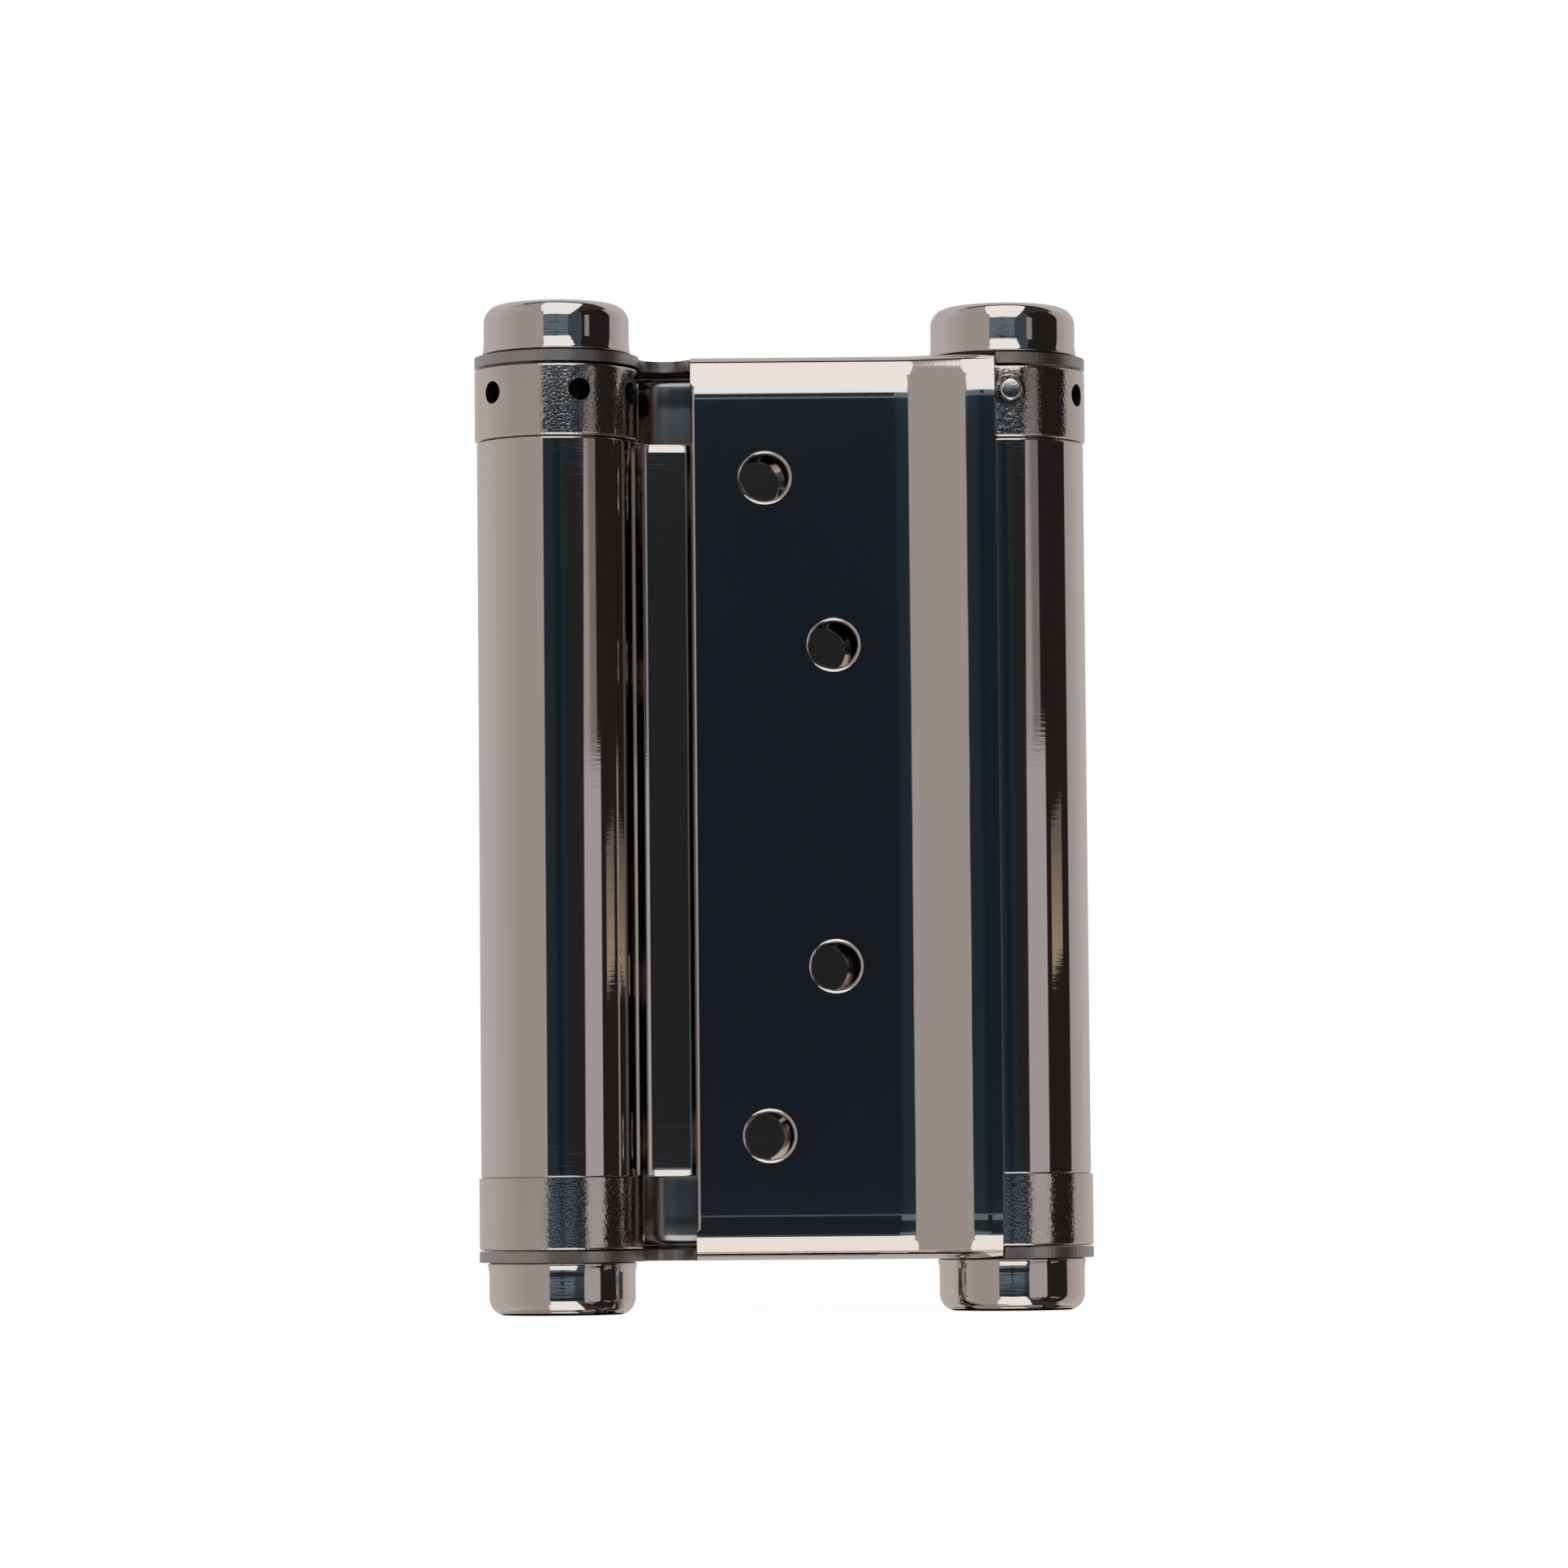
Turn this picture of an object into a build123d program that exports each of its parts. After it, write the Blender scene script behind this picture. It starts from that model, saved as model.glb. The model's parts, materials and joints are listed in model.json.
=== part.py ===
from build123d import *
import os
from math import asin, atan2, cos, degrees, hypot, pi, radians, sin, sqrt, tan

# Double action cafe hinge, millimetres, +Z up along the barrels.
# The origin is the middle of the link web. The jamb barrel is at -X and its leaf
# lies behind the web (+Y). The door barrel is at +X and its leaf lies in front (-Y).
# Everything that belongs to the jamb is the door's copy turned half a turn about Z.

# Leaves, pressed from sheet
sheet = 1.2
leaf_height = 100.0
face_offset = 5.3            # outer face of a leaf's flat part from the middle plane
free_edge_x = -10.0
end_edge_lead = 1.26         # how far the covering part stops short of the barrel's axis
end_flat = 1.2               # straight stretch of the covering part before its end edge
barrel_cover = 0.1           # room between a collar and the part of the leaf that covers it
jog_slope = 15.0             # degrees
jog_ease = 9.68              # outer radius of the bends at both ends of the slope
bend_radius = 1.8            # outside of the folds at the top and bottom
edge_round = 0.35            # polished arris at the free edge and round the ears
ear_lip = 0.23               # ear beyond the tube
neck_radius = 2.8
neck_offset = 0.47           # neck's centre behind the plane of both barrels
leaf_meeting_gap = 0.35      # from that plane to a flange's edge

# Barrels
axis_x = 24.86
axis_y = 3.04
tube_radius = 8.87
web_neck_radius = 1.6        # concave side of the bend between web and tube
seam_gap = 0.35              # the rolled sheet's end stops this short of the web
collar_lip = 0.22            # collar beyond the tube
tension_height = 8.0
anchor_height = 7.85
collar_round = 0.35
end_play = 0.1               # flat clearance between ears, collars and tubes
spigot_length = 6.0
spigot_clearance = 0.1       # turning spigot in its tube
seat_clearance = 0.02        # still pieces in their seats
spindle_radius = 3.0
spindle_chamfer = 0.4
running_clearance = 0.05     # collars on the spindle
spindle_reach = 4.0          # spindle beyond an ear, inside a cap

# End caps
cap_step = 1.05              # cap's side inside the ear's edge
cap_flare = 0.18
cap_flare_height = 1.4
cap_height = 5.85
cap_corner = 1.5
cap_floor = 1.65
stake_width = 0.9
stake_length = 3.0
stake_depth = 0.3
stake_drop = 1.1             # from the ear to the near end of the mark
door_stake_angle = -136.0    # degrees in plan, the way that a mark faces
jamb_stake_angle = -36.5

# Tension holes, their stop pins and the springs
hole_radius = 1.25
hole_depth = 4.4
hole_drop = 2.95             # below the collar's upper rim
hole_angles = (0.0, 60.0, 127.5, 195.0, 242.5, 300.0)
pin_angle = -87.1            # direction of the door barrel's stop pin
pin_clearance = 0.05
pin_reach = 2.1              # how far the pin stands out of its collar
pin_round = 0.3
recess_radius = 1.95
wire_radius = 1.1
coil_clearance = 0.32        # coil in its tube
coil_turns = 21
coil_sides = 10              # straight stretches in a turn: the coil is out of sight
tang_length = 4.0
tang_clearance = 0.1

# Screw holes
screw_radius = 2.6
screw_rim = 0.2
countersink_depth = 0.55
outer_screw_spacing = 72.7
inner_screw_spacing = 35.5
outer_screw_inset = 8.15     # from the free edge
inner_screw_inset = 15.6

# Working allowances
cut_margin = 1.0             # how far a cut runs past the face that it leaves by
near = 1e-3                  # how closely an edge lies to the place that it is picked by

# Worked out from the sizes above
half_height = leaf_height / 2
ear_inner = half_height - sheet
tube_inner = tube_radius - sheet
collar_radius = tube_radius + collar_lip
ear_radius = tube_radius + ear_lip
cap_radius = ear_radius - cap_step
coil_radius = tube_inner - coil_clearance - wire_radius
cover_offset = collar_radius + barrel_cover + sheet - axis_y
end_edge_x = axis_x - end_edge_lead
anchor_bottom = -ear_inner + end_play
tube_bottom = anchor_bottom + anchor_height + end_play
collar_top = ear_inner - 2 * end_play
collar_bottom = collar_top - tension_height
tube_top = collar_bottom - end_play
axis_reach = hypot(axis_x, axis_y)
axis_turn = atan2(axis_y, axis_x)
door_axis = (axis_x, axis_y)
foot_up = (Align.CENTER, Align.CENTER, Align.MIN)


def turned(solid):
    """The jamb's copy of a piece of the door's half."""
    return Rot(0, 0, 180) * solid


def rod(radius, z0, z1, centre=door_axis):
    """Upright round bar between two heights."""
    return Pos(centre[0], centre[1], z0) * Cylinder(radius, z1 - z0, align=foot_up)


def by_barrels(along, across):
    """Plan point given along and across the plane that holds both barrels' axes."""
    return Vector(
        along * cos(axis_turn) - across * sin(axis_turn),
        along * sin(axis_turn) + across * cos(axis_turn),
    )


def heading(start, end):
    """Direction from one plan point to another, in degrees."""
    return degrees(atan2(end.Y - start.Y, end.X - start.X)) % 360


def jog_points(inset):
    """Plan corners at the two ends of the slope, inset from the leaf's outer face."""
    half_bend = tan(radians(jog_slope / 2))
    run = (cover_offset - face_offset) / tan(radians(jog_slope))
    end_x = end_edge_x - end_flat - (jog_ease + inset) * half_bend
    return (end_x - run, -face_offset + inset), (end_x, -cover_offset + inset)


def face_line(inset):
    """Plan line of a leaf's face from the free edge to the end edge."""
    start, end = jog_points(inset)
    corners = [(free_edge_x, start[1]), start, end, (end_edge_x, end[1])]
    return FilletPolyline(*corners, radius=[jog_ease - inset, jog_ease + inset])


def wall_plan():
    """Section of a leaf's wall: the face line and its copy one sheet further in."""
    outer = face_line(0)
    inner = face_line(sheet)
    ends = [Line(outer @ 0, inner @ 0), Line(outer @ 1, inner @ 1)]
    return make_face([*outer.edges(), *inner.edges(), *ends])


def flange_plan():
    """Outline of a leaf's folded flange with the round ear for its barrel."""
    outer = face_line(0)
    ear = Vector(*door_axis)
    neck_along = axis_reach - sqrt((ear_radius + neck_radius) ** 2 - neck_offset ** 2)
    neck_drop = neck_offset + leaf_meeting_gap
    neck = by_barrels(neck_along, neck_offset)
    meet = by_barrels(neck_along - sqrt(neck_radius ** 2 - neck_drop ** 2), -leaf_meeting_gap)
    corner_along = (free_edge_x - leaf_meeting_gap * sin(axis_turn)) / cos(axis_turn)
    corner = by_barrels(corner_along, -leaf_meeting_gap)
    front = -90 - degrees(asin(end_edge_lead / ear_radius))
    lobe = CenterArc(ear, ear_radius, front, heading(ear, neck) - front)
    enter = heading(neck, ear)
    notch = CenterArc(neck, neck_radius, enter, heading(neck, meet) - enter - 360)
    return make_face([
        *outer.edges(),
        Line(outer @ 1, lobe @ 0),
        lobe,
        notch,
        Line(meet, corner),
        Line(corner, outer @ 0),
    ])


def screw_hole(x, z):
    """Through hole with a countersink on the side that the screw goes in from."""
    through = Cylinder(screw_radius, 4 * sheet, rotation=(90, 0, 0))
    rim = screw_radius + countersink_depth
    sink = Cone(screw_radius, rim, countersink_depth, rotation=(-90, 0, 0))
    tool = through + Pos(0, -countersink_depth / 2, 0) * sink
    return Pos(x, -face_offset + sheet, z) * tool


def screw_places():
    """The four screw holes as (x, z), zigzag down the leaf."""
    outer_x = free_edge_x + outer_screw_inset
    inner_x = free_edge_x + inner_screw_inset
    rows = ((outer_x, outer_screw_spacing / 2), (inner_x, inner_screw_spacing / 2))
    return [(x, side * z) for x, z in rows for side in (1, -1)]


def on_face(edge):
    """True for an edge that follows the outer face line at the top or bottom."""
    middle = edge @ 0.5
    level = abs(abs(middle.Z) - half_height) < near
    return level and middle.X < end_edge_x - near and middle.Y < -face_offset + near


def in_corner(edge):
    """True for an edge that follows the inner corner between wall and flange."""
    middle = edge @ 0.5
    level = abs(abs(middle.Z) - ear_inner) < near
    on_wall = middle.X < end_edge_x - near and middle.Y < -face_offset + sheet + near
    return level and on_wall and edge.length > sheet


def on_ear(edge):
    """True for the ear's and the neck's outer edge, which the punch leaves rounded."""
    middle = edge @ 0.5
    level = abs(abs(middle.Z) - half_height) < near
    is_round = edge.geom_type == GeomType.CIRCLE and edge.radius > spindle_radius + near
    return level and is_round and middle.Y > -face_offset - near


def on_arris(edge):
    """True for the outer arris of the free edge, down the wall and round both folds."""
    middle = edge @ 0.5
    outside = abs(middle.Z) > ear_inner + near or middle.Y < -face_offset + near
    return outside and abs(middle.X - free_edge_x) < near and edge.length > sheet + near


def leaf():
    """One leaf: wall, two folded flanges with ears, screw holes."""
    body = extrude(wall_plan(), leaf_height / 2, both=True)
    flange = extrude(flange_plan(), sheet)
    body += Pos(0, 0, ear_inner) * flange
    body += Pos(0, 0, -half_height) * flange
    body = fillet(body.edges().filter_by(on_face), bend_radius)
    body = fillet(body.edges().filter_by(in_corner), bend_radius - sheet)
    body = fillet(body.edges().filter_by(on_ear), edge_round)
    body = fillet(body.edges().filter_by(on_arris), edge_round)
    body -= rod(spindle_radius + seat_clearance, -half_height - cut_margin, half_height + cut_margin)
    for x, z in screw_places():
        body -= screw_hole(x, z)
    rims = [
        edge for edge in body.edges().filter_by(GeomType.CIRCLE)
        if abs(edge.radius - screw_radius) < near and abs((edge @ 0.5).Y + face_offset) < near
    ]
    return fillet(rims, screw_rim)


def sector(centre, r_in, r_out, start, sweep):
    """Flat piece of a ring."""
    inner = CenterArc(centre, r_in, start, sweep)
    outer = CenterArc(centre, r_out, start, sweep)
    return make_face([inner, outer, Line(inner @ 0, outer @ 0), Line(inner @ 1, outer @ 1)])


def link_section():
    """The link in plan, lying along X: the web, and at each end a bend and a rolled tube."""
    mid_radius = tube_radius - sheet / 2
    bend_middle = web_neck_radius + sheet / 2
    lead = sqrt((mid_radius + bend_middle) ** 2 - bend_middle ** 2)
    bend_x = axis_reach - lead
    open_angle = degrees(atan2(bend_middle, lead))
    rolled_from = 180 - open_angle
    seam_half = degrees((sheet / 2 + seam_gap) / tube_radius)
    bend = sector((bend_x, bend_middle), web_neck_radius, bend_middle + sheet / 2, -90, 90 - open_angle)
    tube = sector((axis_reach, 0), tube_inner, tube_radius, rolled_from, seam_half - 180 - rolled_from)
    end = bend + tube
    return Rectangle(2 * bend_x, sheet) + end + Rot(0, 0, 180) * end


def centre_link():
    """One sheet: a web in the plane of both barrels, each end rolled into a tube."""
    plate = extrude(link_section(), tube_top - tube_bottom)
    return Rot(0, 0, degrees(axis_turn)) * (Pos(0, 0, tube_bottom) * plate)


def round_rims(solid, heights):
    """Round a collar's outer rims at the given heights."""
    rims = [
        edge for edge in solid.edges().filter_by(GeomType.CIRCLE)
        if abs(edge.radius - collar_radius) < near
        and min(abs(edge.center().Z - z) for z in heights) < near
    ]
    return fillet(rims, collar_round)


def tang_hole(z0, z1):
    """Hole in a spigot for a spring's bent end."""
    return rod(wire_radius + tang_clearance, z0, z1, (axis_x + coil_radius, axis_y))


def anchor_collar():
    """Bottom collar, fixed in the tube: it holds the spring's lower end."""
    top = tube_bottom + spigot_length
    body = rod(collar_radius, anchor_bottom, tube_bottom)
    body = round_rims(body, (anchor_bottom,))
    body += rod(tube_inner - seat_clearance, tube_bottom, top)
    body -= rod(spindle_radius + running_clearance, anchor_bottom - cut_margin, top + cut_margin)
    return body - tang_hole(top - tang_length - tang_clearance, top + cut_margin)


def radial_hole(radius, r0, r1, angle):
    """Round bar that points out from the door barrel's axis."""
    place = Pos(axis_x, axis_y, collar_top - hole_drop) * Rot(0, 0, angle) * Rot(0, 90, 0)
    return place * (Pos(0, 0, r0) * Cylinder(radius, r1 - r0, align=foot_up))


def pin_recess():
    """Shallow cone that opens the pin's hole at the collar's surface."""
    depth = recess_radius - hole_radius
    place = Pos(axis_x, axis_y, collar_top - hole_drop) * Rot(0, 0, pin_angle) * Rot(0, 90, 0)
    cone = Cone(hole_radius, recess_radius, depth, align=foot_up)
    return place * (Pos(0, 0, collar_radius - depth) * cone)


def tension_collar():
    """Top collar with six holes for the tightening bar and the stop pin."""
    bottom = collar_bottom - spigot_length
    body = rod(collar_radius, collar_bottom, collar_top)
    body = round_rims(body, (collar_bottom, collar_top))
    body += rod(tube_inner - spigot_clearance, bottom, collar_bottom)
    body -= rod(spindle_radius + running_clearance, bottom - cut_margin, collar_top + cut_margin)
    body -= tang_hole(bottom - cut_margin, bottom + tang_length + tang_clearance)
    hole_floor = collar_radius - hole_depth
    for angle in hole_angles:
        body -= radial_hole(hole_radius, hole_floor, collar_radius + cut_margin, pin_angle + angle)
    return body - pin_recess()


def stop_pin():
    """Loose pin in one tension hole: it bears on the end edge of its leaf."""
    start = collar_radius - hole_depth
    pin = radial_hole(hole_radius - pin_clearance, start, collar_radius + pin_reach, pin_angle)
    axis = Vector(axis_x, axis_y, collar_top - hole_drop)
    ends = [edge for edge in pin.edges() if (edge.center() - axis).length > collar_radius]
    return fillet(ends, pin_round)


def spring():
    """Close coil of wire with a straight end in each collar."""
    low = tube_bottom + spigot_length + end_play + wire_radius
    high = collar_bottom - spigot_length - end_play - wire_radius
    steps = coil_turns * coil_sides
    coil = [
        (coil_radius * cos(2 * pi * step / coil_sides),
         coil_radius * sin(2 * pi * step / coil_sides),
         low + (high - low) * step / steps)
        for step in range(steps + 1)
    ]
    lower_end = (coil_radius, 0, low - wire_radius - end_play - tang_length)
    upper_end = (coil_radius, 0, high + wire_radius + end_play + tang_length)
    path = Polyline(lower_end, *coil, upper_end)
    section = Plane(origin=path @ 0, z_dir=path % 0) * RegularPolygon(wire_radius, 6)
    return Pos(axis_x, axis_y, 0) * sweep(section, path=path, transition=Transition.RIGHT)


def spindle():
    """Bar through both ears that everything on the barrel turns on."""
    reach = half_height + spindle_reach
    bar = rod(spindle_radius, -reach, reach)
    return chamfer(bar.edges().filter_by(GeomType.CIRCLE), spindle_chamfer)


def cap():
    """Turned end cap with a flared foot, upright with its foot at z = 0."""
    flare = TangentArc((cap_radius, cap_flare_height), (cap_radius + cap_flare, 0), tangent=(0, -1))
    side = Line(flare @ 0, (cap_radius, cap_height - cap_corner))
    corner = TangentArc(side @ 1, (cap_radius - cap_corner, cap_height), tangent=(0, 1))
    top = Line(corner @ 1, (0, cap_height))
    middle = Line(top @ 1, (0, 0))
    foot = Line(middle @ 1, flare @ 1)
    body = revolve(Plane.XZ * make_face([flare, side, corner, top, middle, foot]), axis=Axis.Z)
    return body - Cylinder(spindle_radius + seat_clearance, cap_height - cap_floor, align=foot_up)


def top_cap():
    """Plain cap on the door barrel's upper ear."""
    return Pos(axis_x, axis_y, half_height) * cap()


def bottom_cap(centre, stake_angle):
    """Cap on a lower ear, with the punch mark that keeps it on its spindle."""
    mark = Box(2 * stake_depth, stake_width, stake_length, align=foot_up)
    marked = cap() - Rot(0, 0, -stake_angle) * (Pos(cap_radius, 0, stake_drop) * mark)
    return Pos(centre[0], centre[1], -half_height) * (Rot(180, 0, 0) * marked)


nodes = {
    "door_leaf": leaf(),
    "door_spindle": spindle(),
    "door_top_cap": top_cap(),
    "door_tension_collar": tension_collar(),
    "door_stop_pin": stop_pin(),
    "door_anchor_collar": anchor_collar(),
    "door_spring": spring(),
}
for name in list(nodes):
    nodes[name.replace("door", "jamb")] = turned(nodes[name])
nodes["door_bottom_cap"] = bottom_cap(door_axis, door_stake_angle)
nodes["jamb_bottom_cap"] = bottom_cap((-axis_x, -axis_y), jamb_stake_angle)
nodes["centre_link"] = centre_link()

os.makedirs("parts", exist_ok=True)
for name, solid in nodes.items():
    export_step(solid, f"parts/{name}.step")
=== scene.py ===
# %% [markdown]
# # A double action cafe hinge, dressed
#
# The hinge is almost all mirror polish. A mirror has no colour of its own to speak of: what is seen
# in it is the room. So this scene has two halves that matter equally. One is smooth meshes, because a
# mirror shows every facet. The other is the room of pale and dark cards that the metal reflects.
#
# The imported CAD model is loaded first. It is the fixed frame, and sizes come from it where they can.

# %% Load the frame
import json
import math

import bpy
from mathutils import Matrix, Vector


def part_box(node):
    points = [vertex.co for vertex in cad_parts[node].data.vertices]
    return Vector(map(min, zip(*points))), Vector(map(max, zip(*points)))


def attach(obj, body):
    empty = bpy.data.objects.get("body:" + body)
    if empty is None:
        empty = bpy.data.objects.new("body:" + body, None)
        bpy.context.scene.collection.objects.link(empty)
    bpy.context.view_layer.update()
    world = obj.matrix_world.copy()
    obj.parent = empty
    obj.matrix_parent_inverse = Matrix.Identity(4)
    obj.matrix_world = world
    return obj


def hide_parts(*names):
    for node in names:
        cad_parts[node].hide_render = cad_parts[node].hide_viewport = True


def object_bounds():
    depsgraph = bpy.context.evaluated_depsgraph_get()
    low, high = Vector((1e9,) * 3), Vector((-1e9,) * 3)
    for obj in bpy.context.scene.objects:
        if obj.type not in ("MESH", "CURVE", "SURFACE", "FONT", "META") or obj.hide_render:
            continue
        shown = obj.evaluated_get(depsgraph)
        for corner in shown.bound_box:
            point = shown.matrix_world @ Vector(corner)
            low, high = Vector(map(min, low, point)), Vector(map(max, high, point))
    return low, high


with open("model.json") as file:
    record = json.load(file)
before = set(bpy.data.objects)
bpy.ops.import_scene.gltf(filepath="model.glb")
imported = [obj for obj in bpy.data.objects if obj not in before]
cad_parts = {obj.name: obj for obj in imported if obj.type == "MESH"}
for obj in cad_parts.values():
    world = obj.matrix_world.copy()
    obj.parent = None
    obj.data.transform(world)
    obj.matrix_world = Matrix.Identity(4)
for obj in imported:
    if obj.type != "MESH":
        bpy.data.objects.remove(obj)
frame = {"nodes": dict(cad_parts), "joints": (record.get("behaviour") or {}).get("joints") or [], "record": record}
cad_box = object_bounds()
MM = 0.001

# %% [markdown]
# ## Sizes
#
# The barrels' axes come from the joints and the outlines from the nodes' boxes. The few sizes that no
# box holds, such as the sheet's thickness and its bends, are named in millimetres where they are first
# needed.

# %% Sizes read from the frame
joint_at = {joint["name"]: Vector(joint["pos_m"]) for joint in frame["joints"]}
door_axis = Vector((*joint_at["door_barrel"].xy, 0))
barrel_axes = {"door": door_axis, "jamb": -door_axis}
leaf_low, leaf_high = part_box("door_leaf")
tube_low, tube_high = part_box("centre_link")
tension_low, tension_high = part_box("door_tension_collar")
anchor_low, anchor_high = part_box("door_anchor_collar")
cap_low, cap_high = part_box("door_top_cap")

ear_radius = leaf_high.x - door_axis.x
tube_radius = tube_high.x - door_axis.x
collar_radius = tension_high.x - door_axis.x
cap_foot = cap_high.x - door_axis.x
half_height = leaf_high.z
cover_y = leaf_low.y
free_edge = leaf_low.x
face_y = min(m["pos_m"][1] for m in frame["record"]["mounts"])
barrel_reach = door_axis.length
barrel_turn = math.atan2(door_axis.y, door_axis.x)
print("ear radius", round(ear_radius / MM, 2), "leaf height", round(2 * half_height / MM, 1))

# %% [markdown]
# ## Drawing a line
#
# Nearly every piece here starts as a line. It is drawn point by point, as with a pen, by extruding a
# single vertex. Then it is either extruded into a sheet or spun round an axis, as on a lathe.
# Everything is deselected before a piece is started, because the operators act on all that is
# selected.

# %% Start a piece and draw a line
MERGE_WITHIN = 0.001 * MM


def deselect():
    """Leave edit mode with nothing selected."""
    if bpy.context.mode != "OBJECT":
        bpy.ops.object.mode_set(mode="OBJECT")
    bpy.ops.object.select_all(action="DESELECT")


def pen(points):
    """Extrude the selected vertex or line from the first point through the others."""
    for start, end in zip(points, points[1:]):
        bpy.ops.mesh.extrude_region_move(TRANSFORM_OT_translate={"value": Vector(end) - Vector(start)})


def draw(name, points):
    """A new object with one line through the points, left in edit mode with its last point selected."""
    deselect()
    bpy.ops.mesh.primitive_plane_add(size=MM, location=(0, 0, 0))
    bpy.context.object.name = name
    bpy.context.object.data.name = name
    bpy.ops.object.mode_set(mode="EDIT")
    bpy.ops.mesh.merge(type="CENTER")
    bpy.ops.transform.translate(value=points[0])
    pen(points)
    return bpy.context.object


def close_mesh():
    """Merge doubles, turn the faces outwards and leave edit mode."""
    bpy.ops.mesh.select_all(action="SELECT")
    bpy.ops.mesh.remove_doubles(threshold=MERGE_WITHIN)
    bpy.ops.mesh.normals_make_consistent(inside=False)
    bpy.ops.object.mode_set(mode="OBJECT")


# %% [markdown]
# ## The leaves
#
# Each leaf was pressed from one sheet: a flat for the screws, a gentle step that covers the front of
# a barrel, and flanges folded back at the top and bottom with a round ear for the spindle. A designer
# would loft this, but a sheet that only ever shifts sideways can be drawn as one plan line and
# extruded row by row. The rows close to the folds lean in slowly before they turn, as a real pressing
# does. That slow lean is what shows as the broad white bands at the top and bottom of the photo, so
# it is worth its rows.

# %% Plan line of a leaf's face
END_EDGE_LEAD = 1.26 * MM
END_FLAT = 1.2 * MM
JOG_SLOPE = math.radians(15)
JOG_EASE = 9.68 * MM
JOG_STEPS = 14
QUARTER = math.pi / 2
end_edge = door_axis.x - END_EDGE_LEAD


def arc(centre, radius, start, end, steps):
    """Points on an arc, angles in radians, both ends included."""
    angles = [start + (end - start) * step / steps for step in range(steps + 1)]
    return [Vector((centre[0] + radius * math.cos(a), centre[1] + radius * math.sin(a))) for a in angles]


def face_line():
    """Plan points of the outer face, from the free edge over the step to the end edge."""
    setback = JOG_EASE * math.tan(JOG_SLOPE / 2)
    run = (face_y - cover_y) / math.tan(JOG_SLOPE)
    far_corner = end_edge - END_FLAT - setback
    near_corner = far_corner - run
    first_centre = (near_corner - setback, face_y - JOG_EASE)
    second_centre = (far_corner + setback, cover_y + JOG_EASE)
    first = arc(first_centre, JOG_EASE, QUARTER, QUARTER - JOG_SLOPE, JOG_STEPS)
    second = arc(second_centre, JOG_EASE, -QUARTER - JOG_SLOPE, -QUARTER, JOG_STEPS)
    return [Vector((free_edge, face_y)), *first, *second, Vector((end_edge, cover_y))]


print("face from", round(free_edge / MM, 2), "to", round(end_edge / MM, 2), "across the hinge")

# %% Fold profile
LEAN_RADIUS = 15 * MM
LEAN_END = math.radians(5.4)
LEAN_START = half_height - 5.0 * MM
LEAN_STEPS = 5
FOLD_RADIUS = 3.0 * MM
FOLD_STEPS = 14


def fold_profile():
    """How far the face stands in, and its height, from the flat up to where the flange lies level."""
    lean = [LEAN_END * step / LEAN_STEPS for step in range(LEAN_STEPS + 1)]
    rows = [(LEAN_RADIUS * (1 - math.cos(a)), LEAN_START + LEAN_RADIUS * math.sin(a)) for a in lean]
    inset, height = rows[-1]
    turn_at = half_height - FOLD_RADIUS * (1 - math.sin(LEAN_END))
    inset += (turn_at - height) * math.tan(LEAN_END)
    for step in range(FOLD_STEPS + 1):
        a = LEAN_END + (QUARTER - LEAN_END) * step / FOLD_STEPS
        rows.append((inset + FOLD_RADIUS * (math.cos(LEAN_END) - math.cos(a)),
                     turn_at + FOLD_RADIUS * (math.sin(a) - math.sin(LEAN_END))))
    return rows


fold = fold_profile()
fold_inset = fold[-1][0]
print("fold takes", round(fold_inset / MM, 2), "mm of the flange")

# %% Outline of a flange beyond the fold
RELIEF = 0.25 * MM
NECK_RADIUS = 2.8 * MM
NECK_OFFSET = 0.47 * MM
MEETING_GAP = 0.35 * MM
EAR_STEPS = 96
NECK_STEPS = 16


def by_barrels(along, across):
    """Plan point along and across the plane that holds both barrels' axes."""
    c, s = math.cos(barrel_turn), math.sin(barrel_turn)
    return Vector((along * c - across * s, along * s + across * c))


def heading(start, end):
    """Direction from one plan point to another, in radians from 0 to a full turn."""
    return math.atan2(end.y - start.y, end.x - start.x) % (2 * math.pi)


def flange_outline():
    """Plan points from the fold's far end round the ear and the neck to the free edge."""
    ear = door_axis.xy
    neck_along = barrel_reach - math.sqrt((ear_radius + NECK_RADIUS) ** 2 - NECK_OFFSET ** 2)
    neck = by_barrels(neck_along, NECK_OFFSET)
    neck_drop = NECK_OFFSET + MEETING_GAP
    meet = by_barrels(neck_along - math.sqrt(NECK_RADIUS ** 2 - neck_drop ** 2), -MEETING_GAP)
    corner_along = (free_edge - MEETING_GAP * math.sin(barrel_turn)) / math.cos(barrel_turn)
    free_corner = by_barrels(corner_along, -MEETING_GAP)
    front = -QUARTER - math.asin((END_EDGE_LEAD - RELIEF) / ear_radius)
    lobe = arc(ear, ear_radius, front, heading(ear, neck), EAR_STEPS)
    notch = arc(neck, NECK_RADIUS, heading(neck, ear), heading(neck, meet) - 2 * math.pi, NECK_STEPS)
    fold_end = cover_y + fold_inset
    step_back = [Vector((end_edge, fold_end)), Vector((end_edge + RELIEF, fold_end))]
    return [*step_back, *lobe, *notch[1:], free_corner, Vector((free_edge, face_y + fold_inset))]


print("points in the flange outline:", len(flange_outline()))

# %% Model the door leaf
FACING = 0.9


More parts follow.
